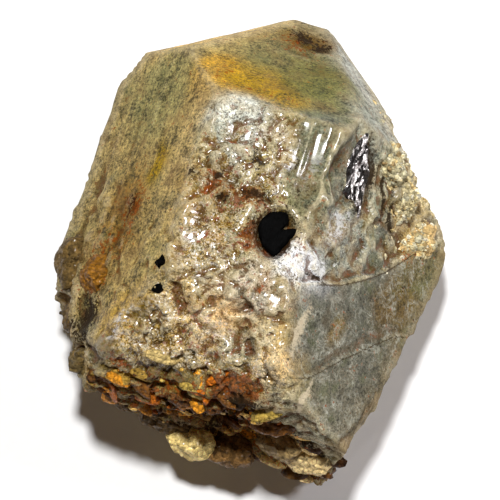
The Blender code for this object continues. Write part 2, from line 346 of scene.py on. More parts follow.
def stone_surface(rays):
    """Where rays from the middle leave the stone, and how much of each point is of each face.

    A face is a plane moved outwards by its relief, the reach of a ray is its distance over the
    ray's cosine to it, and the stone's reach is the softened least of all its faces'.
    """
    normals = np.array([direction(roll, tilt) for roll, tilt, _ in FACES.values()])
    distances = np.array([distance for _, _, distance in FACES.values()])
    facing = np.maximum(rays @ normals.T, 0.02)
    reach = distances / facing
    for _ in range(3):
        least = reach.min(1)
        for n, name in enumerate(FACES):
            near = reach[:, n] < least + 5.0
            points = rays[near] * least[near, None]
            flat = points - np.outer(points @ normals[n] - distances[n], normals[n])
            lift = RELIEFS.get(name, relief_of_end)(flat)
            reach[near, n] = (distances[n] + lift) / facing[near, n]
    least = reach.min(1)
    behind = reach - least[:, None]
    worn = least - EDGE_WEAR * np.log(np.exp(-behind / EDGE_WEAR).sum(1))
    share = np.exp(-behind / SHARE_WIDTH)
    share /= share.sum(1)[:, None]
    return rays * worn[:, None], dict(zip(FACES, share.T))


def to_world(points):
    """Crystal millimetres to scene metres: turned about Z, and moved to where it stands."""
    c, s = math.cos(AXIS_TURN), math.sin(AXIS_TURN)
    turned = points @ np.array([[c, -s, 0], [s, c, 0], [0, 0, 1]])
    return (turned + STAND) * MM


def add_object(name, data):
    """An object of the scene from its mesh, lamp or camera."""
    made = bpy.data.objects.new(name, data)
    bpy.context.scene.collection.objects.link(made)
    return made


def add_piece(name, points, faces, material, smooth=True):
    """One mesh object from points in crystal millimetres, riding on the body as the crystal."""
    mesh = bpy.data.meshes.new(name)
    mesh.from_pydata(to_world(points).tolist(), [], [list(face) for face in faces])
    mesh.polygons.foreach_set("use_smooth", np.full(len(faces), smooth))
    mesh.materials.append(material)
    piece = add_object(name, mesh)
    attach(piece, "root")
    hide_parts("apatite_crystal")
    return piece


def add_colour(piece, name, rgb):
    """A colour for every point of a mesh, as one array."""
    attribute = piece.data.attributes.new(name, "FLOAT_COLOR", "POINT")
    values = np.ones((len(piece.data.vertices), 4), np.float32)
    values[:, :3] = rgb
    attribute.data.foreach_set("color", values.ravel())


class Socket:
    """An output socket of a shader's node, with the arithmetic that adds Math nodes."""

    def __init__(self, shader, socket):
        self.shader, self.socket = shader, socket

    def math(self, operation, *values, clamp=False):
        settings = {"operation": operation, "use_clamp": clamp}
        return self.shader.node("Math", settings, enumerate((self, *values)))

    def __add__(self, other):
        return self.math("ADD", other)

    def __mul__(self, other):
        return self.math("MULTIPLY", other)

    def __sub__(self, other):
        return self.math("SUBTRACT", other)

    def __rsub__(self, other):
        return (self * -1) + other

    __radd__ = __add__
    __rmul__ = __mul__

    def clamped(self):
        return self.math("ADD", 0.0, clamp=True)

    def size(self):
        return self.math("ABSOLUTE")

    def step(self, low, high):
        """0 at low, 1 at high, eased between."""
        return self.shader.node(
            "MapRange", {"interpolation_type": "SMOOTHSTEP"},
            {"Value": self, "From Min": low, "From Max": high},
        )


class Shader:
    """A material's node tree, with one method for each kind of step."""

    def __init__(self, name):
        self.material = bpy.data.materials.new(name)
        self.material.use_nodes = True
        self.tree = self.material.node_tree
        self.surface = self.tree.nodes["Principled BSDF"]
        self.colour = None

    def feed(self, target, value):
        """Links a socket to an input, or sets the input's own value. A colour gets its alpha."""
        if isinstance(value, Socket):
            self.tree.links.new(value.socket, target)
        elif target.type == "RGBA":
            target.default_value = (*value, 1.0)
        else:
            target.default_value = value

    def node(self, kind, settings=(), inputs=(), output=0):
        """A new node: its settings first, then what its sockets are fed."""
        made = self.tree.nodes.new("ShaderNode" + kind)
        for key, value in dict(settings).items():
            setattr(made, key, value)
        for key, value in dict(inputs).items():
            self.feed(made.inputs[key], value)
        return Socket(self, made.outputs[output])

    def mix(self, share, first, second):
        """One colour into another by a share. The node's colour sockets are 6, 7 and, out, 2."""
        return self.node("Mix", {"data_type": "RGBA"}, {0: share, 6: first, 7: second}, 2)

    def stain(self, share, tint):
        """Lays a tint over the colour so far, by a share."""
        self.colour = self.mix(share, self.colour, tint)

    def vector(self, operation, *values, output=0):
        return self.node("VectorMath", {"operation": operation}, enumerate(values), output)

    def scaled(self, place, factor):
        return self.node("VectorMath", {"operation": "SCALE"}, {0: place, "Scale": factor})

    def part(self, place, towards):
        """The part of a vector or a colour that lies towards a unit vector."""
        return self.vector("DOT_PRODUCT", place, towards, output="Value")

    def millimetres(self):
        """The point's place in the crystal's own frame, in millimetres, and its distance across."""
        place = self.node("TexCoord", output="Object")
        moved = self.vector("SUBTRACT", self.scaled(place, 1000.0), tuple(STAND))
        c, s = math.cos(AXIS_TURN), math.sin(AXIS_TURN)
        across = self.part(moved, (c, -s, 0.0))
        along = self.part(moved, (s, c, 0.0))
        up = self.part(moved, (0.0, 0.0, 1.0))
        return self.node("CombineXYZ", {}, {"X": across, "Y": along, "Z": up}), across

    def noise(self, place, scale, detail, rough=0.6, warp=0.0):
        return self.node(
            "TexNoise", {},
            {"Vector": place, "Scale": scale, "Detail": detail, "Roughness": rough, "Distortion": warp},
        )

    def cells(self, place, scale, output="Distance"):
        return self.node("TexVoronoi", {}, {"Vector": place, "Scale": scale}, output)

    def stretched(self, place, across, along):
        """The place with its axis direction drawn out, for striations."""
        return self.vector("MULTIPLY", place, (1 / across, 1 / along, 1 / across))

    def painted(self, name):
        """A colour attribute of the mesh."""
        return self.node("Attribute", {"attribute_name": name}, {}, "Color")

    def masks(self, name):
        """The three masks that a colour attribute holds as its red, green and blue."""
        red = self.node("SeparateColor", {}, {0: self.painted(name)})
        return [Socket(self, out) for out in red.socket.node.outputs[:3]]

    def grain_normal(self, grain_colour, lean):
        """The surface's normal, leaned by each grain's own colour, so that grains glint apart."""
        normal = self.node("NewGeometry", output="Normal")
        tilt = self.scaled(self.vector("SUBTRACT", grain_colour, (0.5, 0.5, 0.5)), lean)
        return self.vector("NORMALIZE", self.vector("ADD", normal, tilt))

    def bump(self, height, depth_mm, **normal):
        """A bump whose height runs from 0 to 1 over a depth in millimetres."""
        inputs = {"Height": height, "Strength": 1.0, "Distance": depth_mm * MM, **normal}
        return self.node("Bump", {}, inputs, "Normal")

    def finish(self, **inputs):
        """Feeds the surface's own inputs, and gives the finished material."""
        for key, value in inputs.items():
            self.feed(self.surface.inputs[key.replace("_", " ")], value)
        return self.material


def stone_material():
    """Cloudy apatite: its painted tint, fine mottling, sugar, veins, striations, ragged stains."""
    shader = Shader("apatite")
    place, across = shader.millimetres()
    tint = shader.painted("tint")
    rust, dark, pale = shader.masks("stains")
    gloss, sugar, slab = shader.masks("finish")
    skin, edge, olive = shader.masks("form")
    upper, lower, depth = shader.masks("lines")
    right, strip, foot = shader.masks("sides")

    # Noises from coarse to fine, each about 0.5, and their swings about 0
    mottle = shader.noise(place, 0.55, 6.0, 0.62)
    patch = shader.noise(place, 1.1, 8.0, 0.72)
    fleck = shader.noise(place, 2.6, 6.0, 0.7)
    speckle = shader.noise(place, 3.2, 4.0, 0.7)
    glitter = shader.noise(place, 5.5, 3.0, 0.75)
    striae = shader.noise(shader.stretched(place, 0.33, 5.0), 1.0, 5.0, 0.65)
    flakes = shader.noise(shader.stretched(place, 0.22, 2.4), 1.0, 5.0, 0.7)
    patch_swing, fleck_swing, speckle_swing = patch - 0.5, fleck - 0.5, speckle - 0.5

    # Clean stone: the tint, lighter and darker by every noise
    shade = (mottle - 0.5) * (2.8 - slab * 1.2) + speckle_swing * (4.4 - sugar * 0.4 - slab * 1.6)
    shade = shade + (striae - 0.5) * skin * 2.0 + (glitter - 0.5) * 2.8
    shade = shade + fleck_swing * (1.4 + sugar * 1.4) + 1.02
    shade = shade + patch_swing * (1 - sugar).clamped() * (1 - slab * 0.6) * 1.8
    shader.colour = shader.scaled(tint, shade.math("MAXIMUM", 0.2))

    # Sugary grains of other colours on the breaks, and warm and cool clouds over the whole
    light = shader.part(tint, (0.0, 1.0, 0.0)).step(0.42, 0.7)
    stained = sugar * (1 - light * 0.75)
    for n, scale, (low, high), cover, grain_tint in (
        (1, 0.34, (0.5, 0.58), stained * 0.55, (0.56, 0.31, 0.09)),
        (2, 0.42, (0.5, 0.58), stained * 0.5, (0.2, 0.22, 0.13)),
        (3, 0.5, (0.53, 0.6), stained * 0.75, (0.36, 0.21, 0.006)),
        (4, 0.4, (0.55, 0.62), sugar * 0.7, (0.7, 0.6, 0.38)),
    ):
        moved = shader.vector("ADD", place, (17.0 * n, 5.0, 9.0 * n))
        share = shader.noise(moved, scale, 6.0, 0.62, 0.4).step(low, high) * cover
        shader.stain(share, grain_tint)
    warm = shader.noise(shader.vector("ADD", place, (31.0, 7.0, 3.0)), 0.33, 7.0, 0.66)
    dim = 1 - light * 0.7
    shader.stain(warm.step(0.5, 0.66) * (1 - slab * 0.7) * dim * 0.45, (0.27, 0.155, 0.05))
    shader.stain((1 - warm).step(0.52, 0.68) * dim * 0.35, (0.16, 0.18, 0.07))

    # Glitter: pale and dark specks between the grains, the pale ones partly painted glints where the break
    # is glossy, and a few painted white glints
    # Pale specks: partly pale grains, partly painted highlight that grows with the gloss
    bright = patch.step(0.5, 0.6) * 0.8 + gloss * (1 - patch).step(0.5, 0.6) * 0.7
    shader.stain((sugar * glitter.step(0.5, 0.57) * bright).clamped(), (0.95, 0.9, 0.76))
    gaps = sugar * (1 - glitter).step(0.47, 0.55) * (1 - fleck).step(0.46, 0.55)
    shader.stain(gaps * 0.9, (0.06, 0.032, 0.004))
    # Painted highlight: near-white glints in clusters on the glossy break
    glint = gloss.step(0.6, 0.95) * sugar * fleck.step(0.54, 0.6) * mottle.step(0.46, 0.54)
    shader.stain(glint.clamped(), (1.0, 0.99, 0.95))

    # Pale veins of the smooth slab, and white streaks of painted reflection in the bright hollow
    wisps = shader.noise(place, 0.45, 5.0, 0.55, 0.6)
    fine_wisps = shader.noise(place, 0.95, 4.0, 0.6, 0.9)
    vein = (1 - ((wisps - 0.5) * 28).size()).clamped()
    fine_vein = (1 - ((fine_wisps - 0.5) * 30).size()).clamped()
    veins = (vein + fine_vein) * 0.6 * slab.step(0.45, 0.9) * mottle.step(0.38, 0.62)
    shader.stain(veins.clamped(), (0.5, 0.5, 0.41))
    streaks = shader.noise(shader.vector("MULTIPLY", place, (0.8, 1.7, 1.2)), 1.0, 5.0, 0.7, 0.6)
    # Painted reflection: white streaks where the glossy hollow would mirror the lamp
    painted_reflection = gloss.step(0.75, 1.0) * (1 - sugar) * streaks.step(0.48, 0.56)
    shader.stain(painted_reflection.clamped() * 0.9, (1.0, 1.0, 1.0))

    # Brown film in the hollows, pale crests, and worn edges between faces
    hollow = (depth + speckle_swing * 0.5 + fleck_swing * 0.6).step(0.58, 0.74)
    crest = (speckle_swing * 0.3 - depth + 1.0).step(0.55, 0.75)
    film = shader.mix(patch.step(0.42, 0.58), (0.09, 0.048, 0.004), (0.12, 0.034, 0.002))
    shader.stain(hollow * patch.step(0.34, 0.52) * (1 - slab * 0.5) * 0.8, film)
    clean = (1 - slab * 1.5).clamped() * (1 - skin * 0.5) * (1 - foot * 0.6)
    shader.stain(crest * clean * (patch.step(0.46, 0.6) * 0.35 + 0.2), (0.82, 0.72, 0.46))
    worn = (edge * 1.3 + fleck_swing * 1.2).step(0.45, 0.8)
    shader.stain(worn * (1 - sugar * 0.7) * (1 - foot) * 0.28, (0.5, 0.38, 0.2))

    # Stains with ragged borders; a few of the pale and dark ones are painted highlight and painted shadow
    olive_edge = (olive * 1.5 + patch_swing * 1.6).step(0.4, 0.8)
    shader.stain(olive_edge * 0.72, (0.13, 0.09, 0.014))
    rust_edge = (rust * 1.5 + patch_swing * 3.4 + fleck_swing * 2.4).step(0.42, 0.78)
    rust_tone = shader.mix(fleck.step(0.4, 0.62), (0.04, 0.009, 0.001), (0.34, 0.07, 0.002))
    shader.stain(rust_edge * 0.85, rust_tone)
    pale_edge = (pale * 1.4 + fleck_swing * 1.4).step(0.45, 0.8)
    shader.stain(pale_edge * 0.75, (0.78, 0.66, 0.45))
    dark_edge = (dark * 1.6 + fleck_swing * 3.2 + (glitter - 0.5) * 1.6).step(0.45, 0.7)
    shader.stain(dark_edge * 0.96, (0.022, 0.011, 0.002))

    # The right face's flaky strip, and its two cracks, in millimetres: each a dark line with painted shade
    # in it, and a pale rim that is partly the stone's edge and partly painted highlight where the step
    # catches the light
    flake_tone = shader.mix(flakes.step(0.42, 0.6), (0.12, 0.06, 0.018), (0.46, 0.34, 0.18))
    shader.stain(strip * 0.9, flake_tone)
    wander = fleck_swing * 0.9
    above = (upper - 0.5) * 8 + wander
    below = (lower - 0.5) * 8 + wander
    # Pale rims: partly the stone's pale edge, partly painted highlight on the lit top of each step
    rims_and_highlight = (1 - (above + 0.5).size().step(0.1, 0.4)) * 0.5
    rims_and_highlight = rims_and_highlight + (1 - (below - 0.42).size().step(0.1, 0.38)) * 0.75
    right = right * across.step(8.0, 9.2)
    shader.stain((rims_and_highlight * right * patch.step(0.44, 0.6)).clamped() * 0.3, (0.42, 0.35, 0.21))
    # Dark crack lines, with painted shade inside the cracks
    cracks_and_shade = (1 - above.size().step(0.03, 0.16)) + (1 - below.size().step(0.03, 0.14))
    shader.stain((cracks_and_shade * right).clamped() * 0.85, (0.05, 0.028, 0.01))

    # Sparse black dots: the middles of some of the cells
    dot_tone = shader.part(shader.cells(place, 0.62, "Color"), (0.0, 1.0, 0.0))
    dot = (1 - (shader.cells(place, 0.62) + fleck_swing * 0.12).step(0.06, 0.11)) * dot_tone.step(0.62, 0.66)
    shader.stain(dot * 0.85, (0.02, 0.012, 0.006))

    height = speckle * 0.7 + fleck * 0.7 + glitter * sugar * 0.4 + striae * skin * 0.7
    height = height - shader.cells(place, 2.9) * sugar * 0.3 + flakes * strip * 0.6
    leaned = shader.grain_normal(shader.cells(place, 2.9, "Color"), sugar * 0.3 + gloss * 0.25)
    coat = gloss * patch.step(0.38, 0.5) * (1 - dark_edge * 0.8) * (1 - rust_edge * 0.6)
    rough = 0.62 - gloss * 0.44 + speckle_swing * 0.4 + rust_edge * 0.2 + dark_edge * 0.1
    return shader.finish(
        Base_Color=shader.colour,
        Roughness=rough.clamped(),
        Normal=shader.bump(height, 0.32, Normal=leaned),
        Coat_Weight=coat.clamped(),
        Coat_Roughness=0.14,
        Specular_IOR_Level=0.08,
        IOR=1.63,
    )


# Colours of the stone where each face is clean
TINTS = {
    "left": (0.38, 0.28, 0.1),
    "right": (0.128, 0.124, 0.09),
    "end": (0.19, 0.165, 0.06),
    "left_end": (0.82, 0.57, 0.21),
    "right_end": (0.48, 0.5, 0.45),
    "top": (0.43, 0.325, 0.1),
    "brow": (0.68, 0.46, 0.14),
    "foot": (0.36, 0.24, 0.05),
    "crust": (0.66, 0.54, 0.28),
    "left_corner": (0.24, 0.165, 0.054),
    "undercut": (0.16, 0.1, 0.029),
    "right_edge": (0.2, 0.145, 0.05),
}
HIDDEN_TINT = (0.27, 0.23, 0.12)

# Places with a tint of their own: the tint, the middle's P, A and U, three radii, strength
TINT_SPOTS = (
    ((0.34, 0.36, 0.26), (11.6, 8.4, 6.4), (1.5, 5, 3), 0.85),
    ((0.15, 0.11, 0.04), (17, 1.6, 0.8), (1.8, 2.6, 3), 0.85),
    ((0.175, 0.16, 0.11), (12.5, -15.5, 3), (4, 5, 8), 0.7),
    ((0.8, 0.8, 0.7), (8.8, 2.2, 9.4), (0.5, 1, 1.2), 0.9),
    ((0.14, 0.075, 0.002), (-0.6, 24, 0.4), (2.6, 2.2, 2.4), 0.9),
    ((0.62, 0.34, 0.02), (-7.4, 15, 9.6), (2.6, 3.4, 4), 0.95),
    ((0.34, 0.2, 0), (-2, 14.2, 10.6), (5.2, 2.8, 3.4), 0.9),
    ((0.38, 0.23, 0.005), (-3.6, 17, 9.2), (3.4, 2.4, 3), 0.6),
    ((0.34, 0.21, 0), (-11.3, 4.6, 7.8), (0.9, 2.4, 2), 0.95),
    ((0.25, 0.25, 0.094), (-13.5, 12.5, 5), (4.5, 5, 5), 0.6),
    ((0.46, 0.335, 0.13), (-8.6, 7.5, 11), (1.8, 7, 2.2), 0.75),
    ((0.22, 0.11, 0.008), (-13.4, -2, 5.4), (2.4, 6, 4), 0.75),
    ((0.15, 0.145, 0.034), (3, 18, 6.4), (5, 4.6, 4), 0.9),
    ((0.34, 0.36, 0.29), (8.6, 15, 7), (2.4, 5, 5), 0.7),
    ((0.14, 0.152, 0.094), (4.8, 7.6, 12.5), (2.9, 7.2, 4), 0.95),
    ((0.8, 0.84, 0.76), (-3.8, 9.8, 13), (3.2, 2.8, 2.4), 0.8),
    ((0.4, 0.44, 0.38), (-4.2, 6.6, 12.6), (2.4, 3, 3), 0.8),
    # Painted reflection: the bright hollow's near-white tint stands in for the lamp mirrored in its glossy
    # curve
    ((0.95, 0.97, 0.98), (6.4, -3.4, 12), (4.2, 2.1, 3.2), 1),
    ((0.31, 0.32, 0.25), (10.4, 1.4, 9), (2.8, 3.6, 4), 0.8),
    ((0.6, 0.52, 0.42), (2.7, -7.6, 13.4), (3.2, 2.6, 3), 0.85),
    ((0.76, 0.48, 0.2), (-0.7, -10.4, 12.2), (2.4, 2.2, 3), 0.9),
    ((1, 0.68, 0.28), (6.1, -14.2, 12), (2.2, 2.2, 4), 0.9),
    ((0.22, 0.22, 0.141), (2.4, -12.6, 10.3), (2.2, 2, 3), 0.85),
    ((0.36, 0.22, 0.05), (-5, 0.5, 12.5), (3.2, 4, 3), 0.8),
    ((0.42, 0.27, 0.07), (-3.6, -3.6, 12.6), (3.4, 3, 3), 0.7),
    ((0.44, 0.25, 0.01), (-8, -13.6, 9), (4, 3.2, 4), 0.7),
    ((0.24, 0.2, 0.079), (9, -17.6, 9.4), (2, 4, 4), 0.6),
    ((0.2, 0.13, 0.032), (11.6, -7.6, 7.6), (0.8, 1.9, 2), 0.9),
    ((0.13, 0.08, 0.02), (15.6, -2.7, 2.4), (1.3, 3, 3), 0.8),
    ((0.14, 0.09, 0.02), (17.6, -0.8, 0), (1.2, 3.8, 3), 0.8),
    ((0.15, 0.13, 0.047), (19, 3.4, -1.8), (2, 3.6, 3), 0.8),
    ((0.48, 0.32, 0.094), (16, 6.5, 2), (2, 3, 3), 0.7),
)
# What has soaked in, with painted shade and highlight at a few dark and pale places, and where the break is
# glossy: the middle's P, A and U, three radii, strength
STAIN_SPOTS = {
    "rust": (
        ((-7, 14.6, 9.8), (1, 1.8, 2), 0.4), ((1.9, -1.6, 13), (2.1, 2.7, 3), 0.7),
        ((-0.6, 1.9, 12.8), (2.4, 1.3, 3), 0.65), ((-4, 2.4, 12.4), (1.6, 2.2, 2), 0.5),
        ((-14.6, -7.7, 4.6), (1.8, 2.4, 2.4), 0.75), ((-12.4, -0.8, 6.5), (1.3, 3, 3), 0.55),
        ((-14.6, -5.4, 4), (2.6, 3, 3), 0.35), ((3.4, -17.3, 8.7), (2.2, 1.9, 2.8), 1.4),
        ((5.4, -19.5, 5.4), (2.4, 1.6, 2), 0.9), ((-3.2, -18.4, 5.6), (6, 2, 2.2), 0.5),
        ((-7.6, -17, 7.4), (2.4, 1, 1.6), 0.6), ((10.9, -19.5, 5.6), (2.2, 1.6, 1.6), 0.5),
        ((16.9, 4.6, 1), (1.8, 2, 2), 0.45), ((-1, 23, 1.4), (3, 2, 3), 0.4),
        ((11.5, -7.4, 7.8), (0.5, 1.4, 2), 0.35), ((-2.6, 13.6, 10.8), (4.4, 1.2, 2), 0.25),
    ),
    "dark": (
        ((-0.9, 24.5, 0), (2, 1.3, 1.6), 0.7), ((0.9, 23.4, 1.2), (0.9, 1.4, 1.6), 0.6),
        ((-14.2, -12.8, 3.2), (1.7, 3.2, 3), 0.8), ((4.2, -18.3, 7.4), (2.2, 1.1, 1.4), 1),
        # The wide spot at (4.6, -19.8, 2) is painted shadow: the black under the near end's lowest layers
        ((4.6, -19.8, 2), (6, 2.4, 2), 1), ((9.7, 8.2, 9.6), (1.1, 4.2, 3), 0.9),
        ((12.3, 9.6, 5.2), (0.3, 3.8, 3), 0.85), ((13.4, 6.4, 3.4), (0.35, 2.2, 2), 0.8),
        ((-12.9, -0.2, 6), (0.6, 2, 2), 0.4), ((2.8, -1, 12.4), (2.2, 2.9, 2), 0.75),
        ((-6.6, 20.6, 4.3), (0.35, 0.3, 0.6), 1), ((-4.1, 3.6, 12.2), (0.5, 0.5, 1), 0.95),
        ((-3.2, 1.4, 12.7), (0.7, 0.5, 1), 0.7), ((-6.8, 3.3, 12.8), (0.9, 0.4, 1), 0.5),
        ((-0.2, 2.3, 12.8), (2.2, 0.9, 1), 0.55), ((-0.6, 6.4, 12.8), (0.7, 1.5, 1), 0.6),
        ((2.4, 7.2, 12.6), (0.4, 2.2, 1), 0.5), ((4.2, 3.9, 12.2), (0.4, 1.5, 1), 0.4),
        ((8.4, -3.9, 10.4), (1.6, 0.6, 1.6), 0.6), ((17, 0.6, 0.7), (0.4, 0.6, 1), 0.6),
    ),
    "pale": (
        ((-5.4, 11.6, 13), (2, 1.6, 3), 0.45), ((1.4, 9.6, 13), (4.2, 0.9, 3), 0.45),
        # The narrow lines at (8, -10) and (10.4, -16.6) are painted highlight along the raised left edges of
        # the right face's slabs
        ((8, -10, 11.8), (0.6, 5.4, 3), 0.6), ((10.4, -16.6, 9.2), (0.6, 3.4, 3.4), 0.7),
        ((13.5, -20.4, -4.7), (1.6, 1.4, 2), 0.5), ((-6.6, -15, 8.4), (1.8, 1.2, 2), 0.3),
    ),
    "olive": (
        ((-8, -12.6, 9.4), (2.4, 3, 3), 0.5), ((-10.6, -16.4, 6.8), (2.8, 2.4, 3), 0.7),
        ((-4, -17.2, 7.2), (5.6, 1.6, 3), 0.75), ((0.4, -17.6, 7.4), (3, 1.4, 3), 0.6),
        ((3, 19.5, 5), (5, 3, 4), 0.4), ((-12, 2, 7), (2, 6, 3), 0.25),
        ((-5.6, 3, 13), (1.2, 4, 3), 0.4), ((5, -7, 12.6), (1.6, 2.4, 3), 0.4),
    ),
    "gloss": (
        ((4.8, 7.6, 12.6), (2.8, 7, 5), 0.3), ((6.8, -2.8, 12), (4, 2.4, 4), 1.3),
        ((-6.4, -14.6, 8.6), (6.5, 3.8, 4), 1.2), ((-0.4, 6.4, 13), (2.4, 5, 3), 1.2),
        ((0.4, 0.4, 13), (2.6, 2, 3), 0.9), ((-4, -3.6, 12.6), (4, 4, 3), 0.8),
        ((6, -14, 9.6), (2.2, 2.4, 3), 0.5), ((8.8, 2.2, 9.6), (1.6, 2.2, 3), 0.9),
    ),
}


def paint_stone(points, share):
    """The tint and masks of each point: face colours mixed by share, then spots over them."""
    tint = np.zeros((len(points), 3))
    for name, part in share.items():
        tint += part[:, None] * np.array(TINTS.get(name, HIDDEN_TINT))
    warped = ragged(points, 0.9, 2.4, 201)
    for colour, centre, radii, strength in TINT_SPOTS:
        cover = ease(1.5 * blob(warped, centre, radii))[:, None] * strength
        tint += cover * (np.array(colour) - tint)
    nose = (grey_nose(points) * share["foot"])[:, None]
    tint += nose * (np.array((0.44, 0.42, 0.3)) - tint)
    masks = {}
    for kind, spots in STAIN_SPOTS.items():
        masks[kind] = np.zeros(len(points))
        for centre, radii, strength in spots:
            masks[kind] = np.maximum(masks[kind], strength * blob(warped, centre, radii))
    broken = share["top"] + share["brow"] + share["left_corner"] + share["undercut"]
    crust = share["crust"] + share["foot"] + share["right_edge"]
    lost = ease(ahead_of(points, CRACK) / 0.6 + 0.5)
    slab = share["right"] * (1 - lost)
    patchy = ease(noise(points, 3.4, 210) * 1.4 + 0.2)
    nose = 1 - grey_nose(points)
    masks["rust"] = np.maximum(masks["rust"], (0.3 * crust * patchy + 0.35 * share["foot"]) * nose)
    masks["rust"] += 0.18 * broken * ease(noise(points, 2.6, 211) * 2)
    masks["dark"] += 0.5 * share["foot"] * ease(noise(points, 1.8, 212) * 3) * nose
    masks["gloss"] += 0.7 * share["brow"] + 0.55 * share["top"] + 0.35 * share["right"] * lost
    masks["gloss"] *= 1 - 0.75 * crust
    smooth = ease(2.4 * blob(points, HOLLOW, HOLLOW_RADII) - 0.1)
    smooth = np.maximum(smooth, ease(2.4 * blob(points, BRIGHT_HOLLOW, BRIGHT_HOLLOW_RADII) - 0.3))
    waxy = 1 - 0.6 * blob(points, (1.6, -9.8, 12.5), (4.4, 4.0, 4.0))
    masks["sugar"] = (broken * waxy + 0.5 * crust + 0.4 * share["right"] * lost) * (1 - 0.85 * smooth)
    masks["slab"] = slab + 0.5 * share["end"] + 0.6 * share["right_end"] + 0.4 * share["lower_right"]
    hidden = share["lower_left"] + share["lower_right"] + share["rest"]
    masks["skin"] = share["left"] + 0.5 * share["left_end"] + 0.7 * hidden
    masks["edge"] = 1 - sum(part**2 for part in share.values())
    masks["upper"] = 0.5 + ahead_of(points, CRACK) / 8
    masks["lower"] = 0.5 + ahead_of(points, LOWER_CRACK) / 8
    masks["right"] = ease(share["right"] * 3 - 1)
    masks["strip"] = ease(beyond_strip(points) / 0.4) * slab
    masks["foot"] = share["foot"] + share["undercut"] + share["crust"]
    return tint, {kind: np.clip(mask, 0, 1) for kind, mask in masks.items()}


def point_normals(points, quads):
    """Each point's normal: the sum of its quads' diagonal cross products, at length 1."""
    first = points[quads[:, 2]] - points[quads[:, 0]]
    second = points[quads[:, 3]] - points[quads[:, 1]]
    normal = np.cross(first, second)
    total = np.zeros_like(points)
    for corner in range(4):
        np.add.at(total, quads[:, corner], normal)
    return unit(total)


def hollowness(points, quads, normals, rounds):
    """How deep each point lies under the mean of its neighbourhood, in millimetres.

    The mean spreads by one ring of quads a round: each point's is the mean of its neighbours'.
    """
    one, two = quads.ravel(), np.roll(quads, -1, 1).ravel()
    size = len(points)
    count = np.bincount(one, minlength=size) + np.bincount(two, minlength=size)
    mean = points
    for _ in range(rounds):
        sums = [np.bincount(one, m[two], size) + np.bincount(two, m[one], size) for m in mean.T]
        mean = np.stack(sums, 1) / count[:, None]
    return ((mean - points) * normals).sum(1)


# About a quarter of a millimetre a cell, with the rays spread as over a box of the stone's size
STONE_CELLS = (165, 185, 52)
STONE_BOX = np.array([21.0, 25.0, 14.0])
rays, stone_quads = box_grid(*STONE_CELLS)
rays = unit(rays * STONE_BOX)
stone_points, stone_share = stone_surface(rays)
stone = add_piece("crystal", stone_points, stone_quads, stone_material())
tint, masks = paint_stone(stone_points, stone_share)
stone_normals = point_normals(stone_points, stone_quads)
masks["depth"] = np.clip(0.5 + 3.2 * hollowness(stone_points, stone_quads, stone_normals, 7), 0, 1)
add_colour(stone, "tint", tint)
for attribute, kinds in {
    "stains": ("rust", "dark", "pale"),
    "finish": ("gloss", "sugar", "slab"),
    "form": ("skin", "edge", "olive"),
    "lines": ("upper", "lower", "depth"),
    "sides": ("right", "strip", "foot"),
}.items():
    add_colour(stone, attribute, np.stack([masks[kind] for kind in kinds], 1))

# The lumps of crust and matrix that grew onto the stone at its right corner, its left corner and
# its near end: angular knots of feldspar, quartz and iron oxide, each fused to what it grew on.

# The middle's P, A and U, three radii, how knobbly it is, and its tint
LUMPS = {
    "right corner": (
        ((16.2, 6.2, -1.0), (2.1, 2.5, 2.1), 0.9, (0.74, 0.52, 0.22)),
        ((14.1, 9.4, 2.0), (1.8, 2.4, 1.8), 0.9, (0.7, 0.6, 0.34)),
        ((11.9, 11.6, 4.3), (1.9, 2.4, 1.8), 0.9, (0.62, 0.56, 0.34)),
        ((15.2, 9.0, -3.0), (1.8, 2.1, 2.4), 0.9, (0.5, 0.38, 0.19)),
        ((17.6, 6.4, -5.6), (1.8, 2.2, 2.2), 0.9, (0.4, 0.29, 0.13)),
    ),
    "left corner": (
        ((-17.6, -6.8, -1.0), (1.9, 3.2, 2.4), 0.6, (0.16, 0.1, 0.03)),
        ((-15.3, -11.0, -2.2), (2.0, 2.6, 2.8), 0.6, (0.14, 0.085, 0.025)),
        ((-14.4, -7.8, 3.7), (1.9, 2.4, 2.0), 0.6, (0.28, 0.12, 0.01)),
        ((-12.6, -15.6, -1.6), (2.5, 2.5, 2.8), 0.6, (0.16, 0.11, 0.035)),
    ),
    "near end": (
        ((-9.0, -17.2, 0.8), (2.8, 2.0, 2.2), 0.6, (0.22, 0.15, 0.045)),
        ((-6.2, -18.2, -2.0), (3.2, 2.0, 1.6), 0.6, (0.16, 0.09, 0.025)),
        ((-3.4, -18.6, -4.6), (3.2, 2.3, 1.8), 0.6, (0.17, 0.1, 0.03)),
        ((-0.8, -20.0, -5.8), (2.7, 2.3, 2.2), 0.3, (1.0, 0.76, 0.28)),
        ((3.4, -19.7, -6.4), (3.0, 2.0, 1.9), 0.6, (0.19, 0.1, 0.03)),
        ((7.6, -17.5, 2.7), (2.8, 1.7, 1.4), 0.6, (0.2, 0.08, 0.015)),
        ((9.2, -18.6, -3.4), (2.8, 1.8, 1.8), 0.6, (0.42, 0.29, 0.12)),
        ((12.0, -18.7, -5.2), (2.5, 1.9, 2.4), 0.6, (0.95, 0.72, 0.34)),
        ((13.2, -15.4, -8.6), (2.0, 2.0, 2.2), 0.6, (0.5, 0.4, 0.2)),
    ),
}


